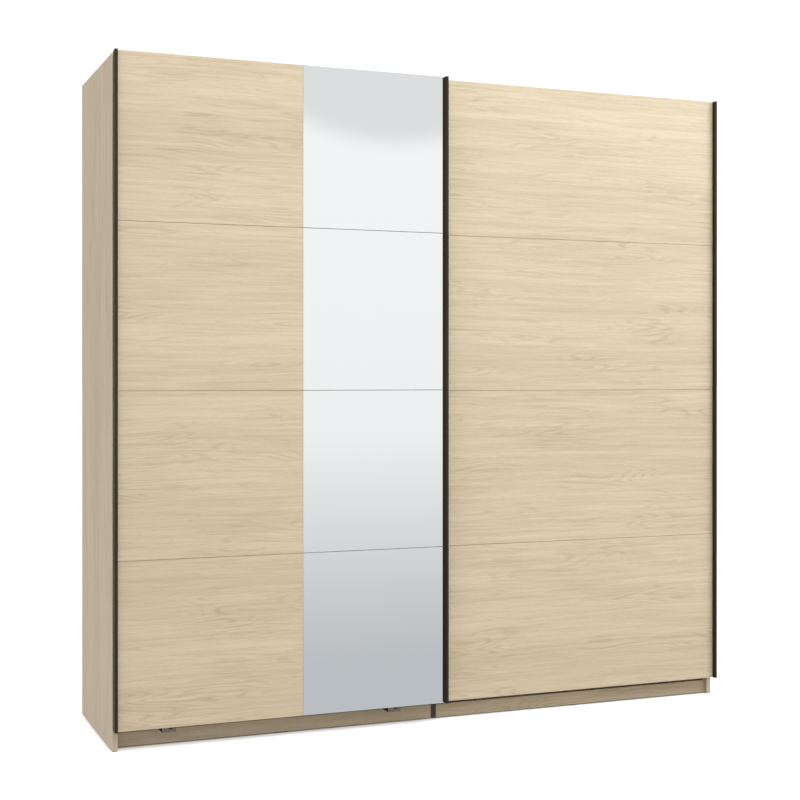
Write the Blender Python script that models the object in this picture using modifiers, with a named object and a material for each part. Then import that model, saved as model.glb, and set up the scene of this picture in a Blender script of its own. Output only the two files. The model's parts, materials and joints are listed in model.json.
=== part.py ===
"""Sliding door wardrobe: a board carcass with two doors that hang on a double track.

Metres, +Z up, front towards -Y. The origin is on the floor, under the middle of the wardrobe.
The left door runs in the front lane. The right door runs in the lane behind it.
"""

import math

import bmesh
import bpy

# ---- driving sizes -------------------------------------------------------------------------

WIDTH = 2.180              # over the two side panels
SIDE_HEIGHT = 2.147        # floor to the top of the side panels
CARCASS_DEPTH = 0.521      # right side panel, front edge to back edge
SIDE_BOARD = 0.017         # thickness of the side panels and the partition
BOARD = 0.016              # thickness of the other carcass boards
BACK_BOARD = 0.003         # hardboard back
GAP = 0.0003               # between pieces that touch
EDGE_ROUND = 0.0008        # edge band rounding on every board

LANE_PITCH = 0.031         # from one door's face to the other's
BACK_GAP = 0.014           # door to the carcass behind it
FIELD = 0.004              # glass and facing panels on the door
CORE = 0.008               # board that carries them
OVERLAP = 0.036            # how far the closed doors overlap in the middle
DOOR_TOP_OVER = 0.0005     # its top above the side panels
OUTER_RAISE = 0.0027       # the left door hangs this much higher
MIRROR_WIDTH = 0.493       # mirror part of the left door
FIELD_ROWS = 4             # each door front is four fields high
FIELD_JOINT = 0.0012       # open joint between two fields

GRIP_WIDTH = 0.0095        # grip strip, seen from the front
GRIP_PROUD = 0.016         # how far it stands in front of the door
GRIP_WEB = 0.0017          # part of the strip that covers the door's edge
GRIP_LIP = 0.0015          # part of the strip behind the door
EDGE_STRIP_PROUD = 0.0025  # flat strip on the hidden edge of the right door

LIFT = 0.0024              # underside of the side panels and plinth above the floor
PLINTH_TOP = 0.0470
SLOT = 0.0165              # plinth to the underside of the right door
PLINTH_RECESS = 0.016      # plinth face behind the carcass front
PLINTH_JOINT = 0.019       # room between the two plinth boards
FOOT_WIDTH = 0.046
FRONT_GLIDE = 0.072
REAR_GLIDE = 0.090

TOP_DROP = 0.052           # top panel's upper face below the top of the side panels
HAT_SPACE = 0.300          # clear height over the shelf
SHELF_SETBACK = 0.020      # shelf and partition front edges behind the carcass front
RAIL_RADIUS = 0.0125
RAIL_WALL = 0.0012
RAIL_DROP = 0.065          # rail's axis under the shelf
CUP_WALL = 0.0025
CUP_DEPTH = 0.014
FLANGE_RADIUS = 0.024
FLANGE = 0.003

WHEEL_RADIUS = 0.012       # rolling radius, at the bottom of the groove
WHEEL_GROOVE = 0.002       # depth of the groove
WHEEL_WIDTH = 0.008
AXLE_RADIUS = 0.003
AXLE_CLEARANCE = 0.0001
HUB_RADIUS = 0.005
AXLE_HEAD = 0.0015
RIB = 0.003                # running rib of the top track
RIB_HEIGHT = 0.0117
TRACK_BASE = 0.003
TRACK_MARGIN = 0.006       # track base in front of and behind the ribs' lanes
INNER_LANE = 0.010         # right door's rib behind the carcass front
OUTER_LANE = 0.036         # left door's rib behind the carcass front
STOP_LENGTH = 0.022
STOP_HEIGHT = 0.034
CARRIAGE_WIDTH = 0.060
WHEEL_TO_STOP = 0.002      # room between a wheel and its stop with the door closed
CARRIAGE_DROP = 0.085      # how far its plate reaches down the door
INNER_PLATE = 0.0025
ARM = 0.002
ARM_CLEARANCE = 0.001      # arm over the top of the right door

GUIDE_TRACK_HEIGHT = 0.006
GUIDE_TRACK_WALL = 0.0023
GROOVE = 0.0044
GROOVE_DEPTH = 0.005
INNER_GROOVE = 0.024       # right door's groove behind the carcass front
OUTER_GROOVE = 0.038       # left door's groove behind the carcass front
TONGUE = 0.0034
TONGUE_ENTRY = 0.0045      # how far a tongue reaches up into its groove
GUIDE_WIDTH = 0.043
GUIDE_RISE = 0.050         # guide plate's height on the door
GUIDE_ARM = 0.002
GUIDE_OVER_PLINTH = 0.0015 # left door's guide arms over the plinth
GUIDE_ARM_SPACE = 0.002    # between the two doors' guide arms
GUIDE_UNDER_TRACK = 0.001  # right door's guide arms under the guide track
GUIDE_INSET_OUTSIDE = 0.173
GUIDE_INSET_MIDDLE = 0.184

ROUND_SIDES = 32

# ---- places worked out from them -----------------------------------------------------------

DOOR_THICK = FIELD + CORE
DEPTH = GRIP_PROUD + LANE_PITCH + DOOR_THICK + BACK_GAP + CARCASS_DEPTH
BACK = DEPTH / 2
FRONT = BACK - CARCASS_DEPTH
INNER_FACE = FRONT - BACK_GAP - DOOR_THICK
OUTER_FACE = INNER_FACE - LANE_PITCH

HALF = WIDTH / 2
INSIDE = HALF - SIDE_BOARD
DOOR_WIDTH = (WIDTH + OVERLAP) / 2
DOOR_BOTTOM = PLINTH_TOP + SLOT
DOOR_HEIGHT = SIDE_HEIGHT + DOOR_TOP_OVER - DOOR_BOTTOM

GUIDE_LOW = PLINTH_TOP + GUIDE_OVER_PLINTH
GUIDE_HIGH = GUIDE_LOW + GUIDE_ARM + GUIDE_ARM_SPACE
GUIDE_TRACK_LOW = GUIDE_HIGH + GUIDE_ARM + GUIDE_UNDER_TRACK
BOTTOM_UNDER = GUIDE_TRACK_LOW + GUIDE_TRACK_HEIGHT + GAP
BOTTOM_TOP = BOTTOM_UNDER + BOARD
TOP_UPPER = SIDE_HEIGHT - TOP_DROP
TOP_UNDER = TOP_UPPER - BOARD
SHELF_UPPER = TOP_UNDER - HAT_SPACE
SHELF_UNDER = SHELF_UPPER - BOARD
RAIL_HEIGHT = SHELF_UNDER - RAIL_DROP
INNER_BACK = BACK - BACK_BOARD - GAP
RAIL_Y = (FRONT + INNER_BACK) / 2

RIB_TOP = TOP_UPPER + GAP + TRACK_BASE + RIB_HEIGHT
WHEEL_HEIGHT = RIB_TOP + GAP + WHEEL_RADIUS
WHEEL_FLANGE = WHEEL_RADIUS + WHEEL_GROOVE
CARRIAGE_INSET = SIDE_BOARD + STOP_LENGTH + WHEEL_FLANGE + WHEEL_TO_STOP
ARM_UNDER = DOOR_BOTTOM + DOOR_HEIGHT + ARM_CLEARANCE


# ---- helpers -------------------------------------------------------------------------------

def clear_scene():
    for thing in list(bpy.data.objects):
        bpy.data.objects.remove(thing, do_unlink=True)


def new_collection(name):
    group = bpy.data.collections.new(name)
    bpy.context.scene.collection.children.link(group)
    return group


def new_material(name, colour, roughness, metallic=0.0):
    made = bpy.data.materials.new(name)
    made.use_nodes = True
    shader = made.node_tree.nodes["Principled BSDF"]
    shader.inputs["Base Color"].default_value = (*colour, 1.0)
    shader.inputs["Roughness"].default_value = roughness
    shader.inputs["Metallic"].default_value = metallic
    made.diffuse_color = (*colour, 1.0)
    return made


def place(name, data, material, location=(0, 0, 0), rotation=(0, 0, 0)):
    piece = bpy.data.objects.new(name, data)
    piece.location = location
    piece.rotation_euler = rotation
    data.materials.append(material)
    parts.objects.link(piece)
    return piece


def board(name, x, y, z, material, edge=EDGE_ROUND):
    """A flat board between two values along each axis, with its edges slightly rounded."""
    mesh = bpy.data.meshes.new(name)
    shape = bmesh.new()
    bmesh.ops.create_cube(shape, size=1.0)
    size = (x[1] - x[0], y[1] - y[0], z[1] - z[0])
    bmesh.ops.scale(shape, vec=size, verts=shape.verts)
    shape.to_mesh(mesh)
    shape.free()
    middle = [(low + high) / 2 for low, high in (x, y, z)]
    piece = place(name, mesh, material, middle)
    if edge:
        bevel = piece.modifiers.new("edge", "BEVEL")
        bevel.width = min(edge, min(size) / 4)
        bevel.segments = 1
    return piece


def outline(name, points, length, material, location, rotation=(0, 0, 0)):
    """A flat outline drawn out to a length along its own Z axis, as one mesh."""
    curve = bpy.data.curves.new(name, "CURVE")
    curve.dimensions = "2D"
    curve.fill_mode = "BOTH"
    curve.extrude = length / 2
    line = curve.splines.new("POLY")
    line.points.add(len(points) - 1)
    for point, (u, v) in zip(line.points, points):
        point.co = (u, v, 0, 1)
    line.use_cyclic_u = True
    drawn = bpy.data.objects.new(name + "_outline", curve)
    drawn.location = location
    drawn.rotation_euler = rotation
    parts.objects.link(drawn)
    bpy.context.view_layer.update()
    seen = drawn.evaluated_get(bpy.context.evaluated_depsgraph_get())
    mesh = bpy.data.meshes.new_from_object(seen)
    mesh.name = name
    shape = bmesh.new()
    shape.from_mesh(mesh)
    bmesh.ops.remove_doubles(shape, verts=shape.verts, dist=1e-6)
    bmesh.ops.recalc_face_normals(shape, faces=shape.faces)
    shape.to_mesh(mesh)
    shape.free()
    piece = place(name, mesh, material)
    piece.matrix_world = drawn.matrix_world
    bpy.data.objects.remove(drawn, do_unlink=True)
    return piece


def across(name, points, x, material):
    """An outline given as (y, z) points, drawn out along X between two values."""
    tilt = (math.radians(90), 0, math.radians(90))
    return outline(name, points, x[1] - x[0], material, ((x[0] + x[1]) / 2, 0, 0), tilt)


def turned(name, profile, material, location, axis, group=None):
    """A profile of (radius, along) points turned about X or Y. It runs down its outer side."""
    mesh = bpy.data.meshes.new(name)
    closed = profile[0][0] > 0 and profile[-1][0] > 0
    count = len(profile)
    edges = [(i, i + 1) for i in range(count - 1)]
    if closed:
        edges.append((count - 1, 0))
    mesh.from_pydata([(radius, 0, along) for radius, along in profile], edges, [])
    rotation = (math.radians(-90), 0, 0) if axis == "Y" else (0, math.radians(90), 0)
    piece = place(name, mesh, material, location, rotation)
    screw = piece.modifiers.new("turn", "SCREW")
    screw.steps = ROUND_SIDES
    screw.render_steps = ROUND_SIDES
    screw.use_merge_vertices = True
    screw.merge_threshold = 0.00001
    if group:
        parts.objects.unlink(piece)
        group.objects.link(piece)
        piece.hide_render = True
        piece.display_type = "WIRE"
    return piece


def join_to(piece, other):
    union = piece.modifiers.new("join", "BOOLEAN")
    union.operation = "UNION"
    union.solver = "EXACT"
    union.object = other


def ring(inner, outer, low, high):
    """A square-cut ring's profile, for turned()."""
    return [(outer, high), (outer, low), (inner, low), (inner, high)]


# ---- carcass -------------------------------------------------------------------------------

def side_panels():
    """The left panel is one lane deeper, because the door in front of it is in the front lane."""
    for side, sign, front in (("left", -1, FRONT - LANE_PITCH), ("right", 1, FRONT)):
        x = sorted((sign * HALF, sign * INSIDE))
        board(f"side_panel_{side}", x, (front, BACK), (LIFT, SIDE_HEIGHT), oak)
        under = (0, LIFT - GAP)
        board(f"glide_front_{side}", x, (front, front + FRONT_GLIDE), under, oak, 0.0003)
        board(f"glide_rear_{side}", x, (BACK - REAR_GLIDE, BACK), under, oak, 0.0003)


def carcass_boards():
    x_in = INSIDE - GAP
    board("top_panel", (-x_in, x_in), (FRONT, INNER_BACK), (TOP_UNDER, TOP_UPPER), oak)
    half = SIDE_BOARD / 2
    support_front = FRONT + OUTER_GROOVE + GROOVE / 2 + GUIDE_TRACK_WALL + 2 * GAP
    board("centre_partition", (-half, half), (FRONT + SHELF_SETBACK, INNER_BACK),
          (BOTTOM_TOP + GAP, TOP_UNDER - GAP), oak)
    board("centre_support", (-half, half), (support_front, INNER_BACK),
          (0, BOTTOM_UNDER - GAP), oak)
    for side, sign in (("left", -1), ("right", 1)):
        floor_x = sorted((sign * x_in, sign * GAP / 2))
        bay_x = sorted((sign * x_in, sign * (half + GAP)))
        plinth_x = sorted((sign * x_in, sign * (PLINTH_JOINT / 2)))
        plinth_y = (FRONT + PLINTH_RECESS, FRONT + PLINTH_RECESS + BOARD)
        board(f"bottom_panel_{side}", floor_x, (FRONT, INNER_BACK),
              (BOTTOM_UNDER, BOTTOM_TOP), oak)
        board(f"hat_shelf_{side}", bay_x, (FRONT + SHELF_SETBACK, INNER_BACK),
              (SHELF_UNDER, SHELF_UPPER), oak)
        board(f"back_panel_{side}", floor_x, (BACK - BACK_BOARD, BACK),
              (LIFT, TOP_UPPER), hardboard, 0)
        board(f"plinth_{side}", plinth_x, plinth_y, (LIFT, PLINTH_TOP), oak)
        foot_x = sign * (INSIDE / 2)
        board(f"plinth_foot_{side}", (foot_x - FOOT_WIDTH / 2, foot_x + FOOT_WIDTH / 2),
              plinth_y, (0, LIFT - GAP), dark_plastic, 0.0003)
    joint = PLINTH_JOINT / 2 - GAP
    joint_y = (FRONT + PLINTH_RECESS + EDGE_ROUND, FRONT + PLINTH_RECESS + BOARD)
    board("plinth_connector", (-joint, joint), joint_y, (LIFT, PLINTH_TOP), dark_plastic)


def clothes_rails():
    """A steel tube in each bay, in a flanged cup at each end."""
    cup_inside = RAIL_RADIUS + GAP
    cup_outside = cup_inside + CUP_WALL
    cup = [
        (0, FLANGE), (cup_inside, FLANGE), (cup_inside, CUP_DEPTH), (cup_outside, CUP_DEPTH),
        (cup_outside, FLANGE), (FLANGE_RADIUS, FLANGE), (FLANGE_RADIUS, 0), (0, 0),
    ]
    for side, sign in (("left", -1), ("right", 1)):
        outer = sign * (INSIDE - GAP)
        middle = sign * (SIDE_BOARD / 2 + GAP)
        for end, x, facing in (("outer", outer, -sign), ("middle", middle, sign)):
            name = f"rail_cup_{side}_{end}"
            profile = [(radius, facing * along) for radius, along in cup[::facing]]
            turned(name, profile, chrome, (x, RAIL_Y, RAIL_HEIGHT), "X")
        length = abs(outer - middle) - 2 * (FLANGE + GAP)
        tube = ring(RAIL_RADIUS - RAIL_WALL, RAIL_RADIUS, -length / 2, length / 2)
        turned(f"clothes_rail_{side}", tube, chrome,
               ((outer + middle) / 2, RAIL_Y, RAIL_HEIGHT), "X")


def top_track():
    """A base strip on the top panel with a running rib for each door, and a stop at each end."""
    front = FRONT + INNER_LANE - RIB / 2 - TRACK_MARGIN
    back = FRONT + OUTER_LANE + RIB / 2 + TRACK_MARGIN
    low = TOP_UPPER + GAP
    base = low + TRACK_BASE
    points = [(front, low), (front, base)]
    for lane in (INNER_LANE, OUTER_LANE):
        left, right = FRONT + lane - RIB / 2, FRONT + lane + RIB / 2
        points += [(left, base), (left, RIB_TOP), (right, RIB_TOP), (right, base)]
    points += [(back, base), (back, low)]
    end = INSIDE - GAP - STOP_LENGTH - GAP
    across("top_track", points, (-end, end), aluminium)
    for side, sign in (("left", -1), ("right", 1)):
        x = sorted((sign * (INSIDE - GAP), sign * (INSIDE - GAP - STOP_LENGTH)))
        board(f"track_stop_{side}", x, (front, back), (low, low + STOP_HEIGHT), dark_plastic)


def guide_track():
    """The strip under the bottom panels, with a groove open downwards for each door."""
    high = BOTTOM_UNDER - GAP
    low = GUIDE_TRACK_LOW
    front = FRONT + INNER_GROOVE - GROOVE / 2 - GUIDE_TRACK_WALL
    back = FRONT + OUTER_GROOVE + GROOVE / 2 + GUIDE_TRACK_WALL
    points = [(front, high), (front, low)]
    for lane in (INNER_GROOVE, OUTER_GROOVE):
        left, right = FRONT + lane - GROOVE / 2, FRONT + lane + GROOVE / 2
        roof = low + GROOVE_DEPTH
        points += [(left, low), (left, roof), (right, roof), (right, low)]
    points += [(back, low), (back, high)]
    across("guide_track", points, (-(INSIDE - GAP), INSIDE - GAP), dark_metal)


# ---- doors ---------------------------------------------------------------------------------

def grip(name, edge_x, sign, face, bottom, proud, metal):
    """A dark strip over the door's upright edge. sign points from the edge into the door."""
    depth_front = face - proud
    behind = face + DOOR_THICK + GAP
    points = [
        (0, depth_front), (GRIP_WIDTH, depth_front), (GRIP_WIDTH, face - GAP),
        (GRIP_WEB, face - GAP), (GRIP_WEB, behind), (GRIP_WIDTH, behind),
        (GRIP_WIDTH, behind + GRIP_LIP), (0, behind + GRIP_LIP),
    ]
    drawn = [(sign * u, v) for u, v in points]
    middle = bottom + DOOR_HEIGHT / 2
    piece = outline(name, drawn, DOOR_HEIGHT, metal, (edge_x, 0, middle))
    bevel = piece.modifiers.new("edge", "BEVEL")
    bevel.width = 0.0005
    bevel.segments = 1
    bevel.limit_method = "ANGLE"
    bevel.use_clamp_overlap = True
    return piece


def field_rows(bottom):
    """Bottom and top of each field, from the top row down."""
    height = (DOOR_HEIGHT - (FIELD_ROWS - 1) * FIELD_JOINT) / FIELD_ROWS
    for row in range(FIELD_ROWS):
        high = bottom + DOOR_HEIGHT - row * (height + FIELD_JOINT)
        yield row + 1, (high - height, high)


def door(side, left, face, bottom, mirror_width):
    """Core board, facing panels, mirrors and edge strips of one door."""
    right = left + DOOR_WIDTH
    inset = GRIP_WEB + GAP
    core_x = (left + inset, right - inset)
    core_y = (face + FIELD + GAP, face + DOOR_THICK)
    board(f"door_{side}_core", core_x, core_y, (bottom, bottom + DOOR_HEIGHT), oak)
    field_y = (face, face + FIELD)
    mirror_left = right - GRIP_WIDTH - mirror_width
    wood_x = (core_x[0], mirror_left - GAP if mirror_width else core_x[1])
    for row, z in field_rows(bottom):
        board(f"door_{side}_panel_{row}", wood_x, field_y, z, oak, 0.0003)
        if mirror_width:
            board(f"door_{side}_mirror_{row}", (mirror_left, core_x[1]), field_y, z, mirror, 0.0003)
    left_proud = GRIP_PROUD if side == "left" else EDGE_STRIP_PROUD
    left_name = "grip_left" if side == "left" else "edge_strip"
    grip(f"door_{side}_{left_name}", left, 1, face, bottom, left_proud, bronze)
    grip(f"door_{side}_grip_right", right, -1, face, bottom, GRIP_PROUD, bronze)


def wheel(name, x, y):
    """A plastic wheel with a groove that straddles the rib, on a horizontal axle along Y."""
    bore = AXLE_RADIUS + AXLE_CLEARANCE
    half = WHEEL_WIDTH / 2
    floor = RIB / 2 + GAP
    profile = [
        (WHEEL_FLANGE, half), (WHEEL_FLANGE, floor + 0.0012), (WHEEL_RADIUS, floor),
        (WHEEL_RADIUS, -floor), (WHEEL_FLANGE, -floor - 0.0012), (WHEEL_FLANGE, -half),
        (bore, -half), (bore, half),
    ]
    turned(name, profile, white_plastic, (x, y, WHEEL_HEIGHT), "Y")


def axle(name, x, start, wheel_y, sign, carriage):
    """Spacer, axle and head as one turned pin that leaves a plate at start, along sign."""
    near = wheel_y - sign * (WHEEL_WIDTH / 2 + GAP)
    far = wheel_y + sign * (WHEEL_WIDTH / 2 + GAP)
    end = far + sign * AXLE_HEAD
    root = start - sign * GAP
    profile = [
        (0, end), (HUB_RADIUS, end), (HUB_RADIUS, far), (AXLE_RADIUS, far),
        (AXLE_RADIUS, near), (HUB_RADIUS, near), (HUB_RADIUS, root), (0, root),
    ]
    pin = turned(name, profile if sign > 0 else profile[::-1], steel,
                 (x, 0, WHEEL_HEIGHT), "Y", cutters)
    join_to(carriage, pin)


def inner_carriage(name, x):
    """A plate on the back of the right door, with the wheel behind it."""
    start = INNER_FACE + DOOR_THICK + GAP
    back = start + INNER_PLATE
    low = DOOR_BOTTOM + DOOR_HEIGHT - CARRIAGE_DROP
    high = WHEEL_HEIGHT + WHEEL_RADIUS
    half = CARRIAGE_WIDTH / 2
    plate = board(name, (x - half, x + half), (start, back), (low, high), steel, 0)
    axle(name + "_pin", x, back, FRONT + INNER_LANE, 1, plate)


def outer_carriage(name, x):
    """A plate on the back of the left door, an arm over the right door and a tab behind it."""
    start = OUTER_FACE + DOOR_THICK + GAP
    low = DOOR_BOTTOM + DOOR_HEIGHT - CARRIAGE_DROP
    high = ARM_UNDER + ARM
    tab = FRONT + OUTER_LANE + WHEEL_WIDTH / 2 + HUB_RADIUS
    tab_low = WHEEL_HEIGHT - WHEEL_FLANGE
    points = [
        (start, low), (start, high), (tab + ARM, high), (tab + ARM, tab_low),
        (tab, tab_low), (tab, ARM_UNDER), (start + ARM, ARM_UNDER), (start + ARM, low),
    ]
    half = CARRIAGE_WIDTH / 2
    plate = across(name, points, (x - half, x + half), steel)
    axle(name + "_pin", x, tab, FRONT + OUTER_LANE, -1, plate)


def guide(name, x, back_of_door, groove, arm_low, bottom):
    """A plate on the door's back, an arm under the carcass and a tongue up into the groove."""
    start = back_of_door + GAP
    lane = FRONT + groove
    top = bottom + GUIDE_RISE
    arm_high = arm_low + GUIDE_ARM
    tip = GUIDE_TRACK_LOW + TONGUE_ENTRY
    points = [
        (start, top), (start, arm_low), (lane + TONGUE / 2, arm_low), (lane + TONGUE / 2, tip),
        (lane - TONGUE / 2, tip), (lane - TONGUE / 2, arm_high), (start + GUIDE_ARM, arm_high),
        (start + GUIDE_ARM, top),
    ]
    half = GUIDE_WIDTH / 2
    across(name, points, (x - half, x + half), steel)


def doors():
    left_edge = -HALF
    right_edge = HALF - DOOR_WIDTH
    outer_bottom = DOOR_BOTTOM + OUTER_RAISE
    door("left", left_edge, OUTER_FACE, outer_bottom, MIRROR_WIDTH)
    door("right", right_edge, INNER_FACE, DOOR_BOTTOM, 0)
    for number, x in ((1, left_edge + CARRIAGE_INSET), (2, left_edge + DOOR_WIDTH - CARRIAGE_INSET)):
        outer_carriage(f"carriage_left_{number}", x)
        wheel(f"wheel_left_{number}", x, FRONT + OUTER_LANE)
    for number, x in ((1, right_edge + CARRIAGE_INSET), (2, HALF - CARRIAGE_INSET)):
        inner_carriage(f"carriage_right_{number}", x)
        wheel(f"wheel_right_{number}", x, FRONT + INNER_LANE)
    outer_back = OUTER_FACE + DOOR_THICK
    inner_back = INNER_FACE + DOOR_THICK
    for number, x in ((1, left_edge + GUIDE_INSET_OUTSIDE),
                      (2, left_edge + DOOR_WIDTH - GUIDE_INSET_MIDDLE)):
        guide(f"guide_left_{number}", x, outer_back, OUTER_GROOVE, GUIDE_LOW, outer_bottom)
    for number, x in ((1, right_edge + GUIDE_INSET_MIDDLE), (2, HALF - GUIDE_INSET_OUTSIDE)):
        guide(f"guide_right_{number}", x, inner_back, INNER_GROOVE, GUIDE_HIGH, DOOR_BOTTOM)


clear_scene()
parts = new_collection("sliding_door_wardrobe")
cutters = new_collection("cutters")
oak = new_material("oak_melamine", (0.66, 0.53, 0.37), 0.55)
hardboard = new_material("white_hardboard", (0.80, 0.78, 0.74), 0.7)
mirror = new_material("silvered_glass", (0.90, 0.92, 0.93), 0.03, 1.0)
bronze = new_material("dark_bronze_aluminium", (0.035, 0.026, 0.021), 0.4, 0.6)
aluminium = new_material("mill_aluminium", (0.70, 0.71, 0.72), 0.35, 1.0)
dark_metal = new_material("black_aluminium", (0.03, 0.03, 0.03), 0.45, 0.6)
steel = new_material("zinc_plated_steel", (0.56, 0.57, 0.58), 0.35, 1.0)
chrome = new_material("chromed_steel", (0.80, 0.80, 0.82), 0.12, 1.0)
dark_plastic = new_material("dark_brown_plastic", (0.045, 0.035, 0.028), 0.6)
white_plastic = new_material("white_nylon", (0.82, 0.82, 0.80), 0.45)

side_panels()
carcass_boards()
clothes_rails()
top_track()
guide_track()
doors()
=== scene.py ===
"""Sliding door wardrobe: its finished surfaces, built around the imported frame, and a plain studio.

Everything is in metres in the frame's own axes: +X to the right, +Y to the back, +Z up.
Each group of pieces has one operator, and the sidebar panel lists them in the order of assembly.
"""

import json
import math
from functools import partial

import bmesh
import bpy
from bpy.props import FloatProperty, FloatVectorProperty, PointerProperty
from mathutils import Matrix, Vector


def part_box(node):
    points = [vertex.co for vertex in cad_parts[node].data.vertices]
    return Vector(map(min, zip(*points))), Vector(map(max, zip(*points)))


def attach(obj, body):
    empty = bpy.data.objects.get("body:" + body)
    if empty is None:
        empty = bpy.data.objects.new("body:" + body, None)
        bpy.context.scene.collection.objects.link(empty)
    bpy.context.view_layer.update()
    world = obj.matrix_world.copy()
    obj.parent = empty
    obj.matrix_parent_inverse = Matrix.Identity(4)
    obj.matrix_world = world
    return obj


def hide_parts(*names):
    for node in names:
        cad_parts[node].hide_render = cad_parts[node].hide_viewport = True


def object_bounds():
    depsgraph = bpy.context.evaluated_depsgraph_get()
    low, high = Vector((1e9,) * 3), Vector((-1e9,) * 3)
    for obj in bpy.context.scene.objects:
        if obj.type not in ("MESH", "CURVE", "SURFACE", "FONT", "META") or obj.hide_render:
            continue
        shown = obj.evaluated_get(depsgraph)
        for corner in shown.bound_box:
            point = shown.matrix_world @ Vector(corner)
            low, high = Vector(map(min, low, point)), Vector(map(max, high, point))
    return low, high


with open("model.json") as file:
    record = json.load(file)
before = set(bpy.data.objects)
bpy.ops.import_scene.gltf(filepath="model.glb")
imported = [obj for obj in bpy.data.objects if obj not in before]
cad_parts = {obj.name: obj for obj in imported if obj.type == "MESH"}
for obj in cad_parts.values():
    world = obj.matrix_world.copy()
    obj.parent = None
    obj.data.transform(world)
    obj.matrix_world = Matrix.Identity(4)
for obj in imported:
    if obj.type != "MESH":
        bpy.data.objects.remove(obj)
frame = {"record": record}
CAD_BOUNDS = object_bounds()

bl_info = {
    "name": "Sliding Door Wardrobe",
    "version": (1, 0, 0),
    "blender": (4, 5, 0),
    "location": "View3D > Sidebar > Wardrobe",
    "description": "Builds the finished pieces of a sliding door wardrobe around its frame",
    "category": "Object",
}

BODY_OF = {
    node: body
    for body, nodes in frame["record"]["behaviour"]["bodies"].items()
    for node in nodes
}

# Sizes of the frame's pieces, and of details on them, that can't be read from a box.
CLEARANCE = 0.0003
SHEET_STEEL = 0.002
PLATE_STEEL = 0.0025
AXLE_RADIUS = 0.003
PIN_RADIUS = 0.005
AXLE_HEAD = 0.0015
GUIDE_CORNER = 0.005
TONGUE = 0.0034
TONGUE_ENTRY = 0.0045
GRIP_LIP = 0.0015
RIB = 0.003
TRACK_BASE = 0.003
TRACK_MARGIN = 0.006
GUIDE_WALL = 0.0023
GROOVE = 0.0044
GROOVE_DEPTH = 0.005
RAIL_WALL = 0.0012
FLANGE = 0.003
COLLAR_WALL = 0.0025
STOP_CORNER = 0.003
BUFFER = 0.004
BUFFER_RIM = 0.003
BUFFER_DIP = 0.001
CONNECTOR_CHANNEL = 0.0012
ROWS = (1, 2, 3, 4)

# A wheel from its outside in, and the pockets that show its turning.
WHEEL_FLANGE = 0.002
GROOVE_SLOPE = 0.0012
WHEEL_EDGE = 0.0006
WHEEL_RIM = 0.0022
RIM_DROP = 0.0010
WHEEL_DISH = 0.0042
BEARING_RISE = 0.0009
BEARING_RING = 0.0030
BORE_PLAY = 0.0011
POCKETS = 5
POCKET_TURN = 42
POCKET_BAND = (0.0080, 0.0106)
POCKET_INSET = 0.0003
POCKET_DROP = 0.0008

# The small hole in a guide, from the plate's middle and from the door's underside.
HOLE_SHIFT = 0.005
HOLE_HALF = 0.007
HOLE_BELOW = (0.0080, 0.0030)

# Screws and nails.
NAIL_TALL = 0.0006
BACK_NAIL_INSET = 0.008
TRACK_SCREW_INSET = 0.040
PLATE_SCREW_INSET = 0.011
PLATE_SCREW_RISE = 0.042
GUIDE_SCREW_INSET = 0.010
GUIDE_SCREW_DROP = 0.014
CUP_SCREW_HEAD = 0.0024
STOP_SCREW_HEAD = 0.0045

# Small roundings that every part of a kind has.
SOFTENED = 0.0005
FINE_EDGE = 0.0006
MOULDED_EDGE = 0.0008
ROUND_CROWN = 0.0012
PAD_CORNER = {"pale_polypropylene": 0.0035, "dark_brown_abs": 0.003}
EXTRUSION_EDGE = 0.0004

# How near two places count as one, and how closely a face or an edge follows an axis.
TOUCH = 0.00002
NEAR = 0.0001
SQUARE = 0.99
STRAIGHT = 0.999

# Camera: eye height and place in front of the left end, level, turned towards the right.
CAMERA_PLACE = (-1.9268, -4.7262, 1.1480)
CAMERA_TURN = -21.782
CAMERA_LENS = 65.5
CAMERA_SHIFT = -0.0276

AXES = {"X": 0, "Y": 1, "Z": 2}
SIDES = {
    "left": (0, -1), "right": (0, 1), "front": (1, -1),
    "back": (1, 1), "bottom": (2, -1), "top": (2, 1),
}
TURN_TO = {"X": (0, math.radians(90), 0), "Y": (math.radians(-90), 0, 0), "Z": (0, 0, 0)}
GRAIN_TURN = {"X": (0, 0, 0), "Z": (0, math.radians(90), 0)}

# Inputs of a colour Mix node, and what some kinds of node have unless they are told otherwise.
FACTOR, FIRST, SECOND = 0, 6, 7
USUAL_SETTINGS = {"Mix": {"data_type": "RGBA"}}
USUAL_INPUTS = {"TexNoise": {"Scale": 1.0}, "TexVoronoi": {"Scale": 1.0}}
USUAL_OUTPUT = {"Mix": 2}


def linear(hex_colour):
    """An sRGB hex colour as linear red, green, blue and alpha."""
    shares = [int(hex_colour[i : i + 2], 16) / 255 for i in (0, 2, 4)]
    return (*(s / 12.92 if s <= 0.04045 else ((s + 0.055) / 1.055) ** 2.4 for s in shares), 1.0)


def length(name, description, default):
    """A size in metres, as a property."""
    return FloatProperty(name=name, description=description, default=default, min=0, unit="LENGTH",
                         precision=4)


def colour(name, description, hex_colour):
    """A colour, as a property."""
    return FloatVectorProperty(name=name, description=description, default=linear(hex_colour)[:3],
                               subtype="COLOR", min=0, max=1)


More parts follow.
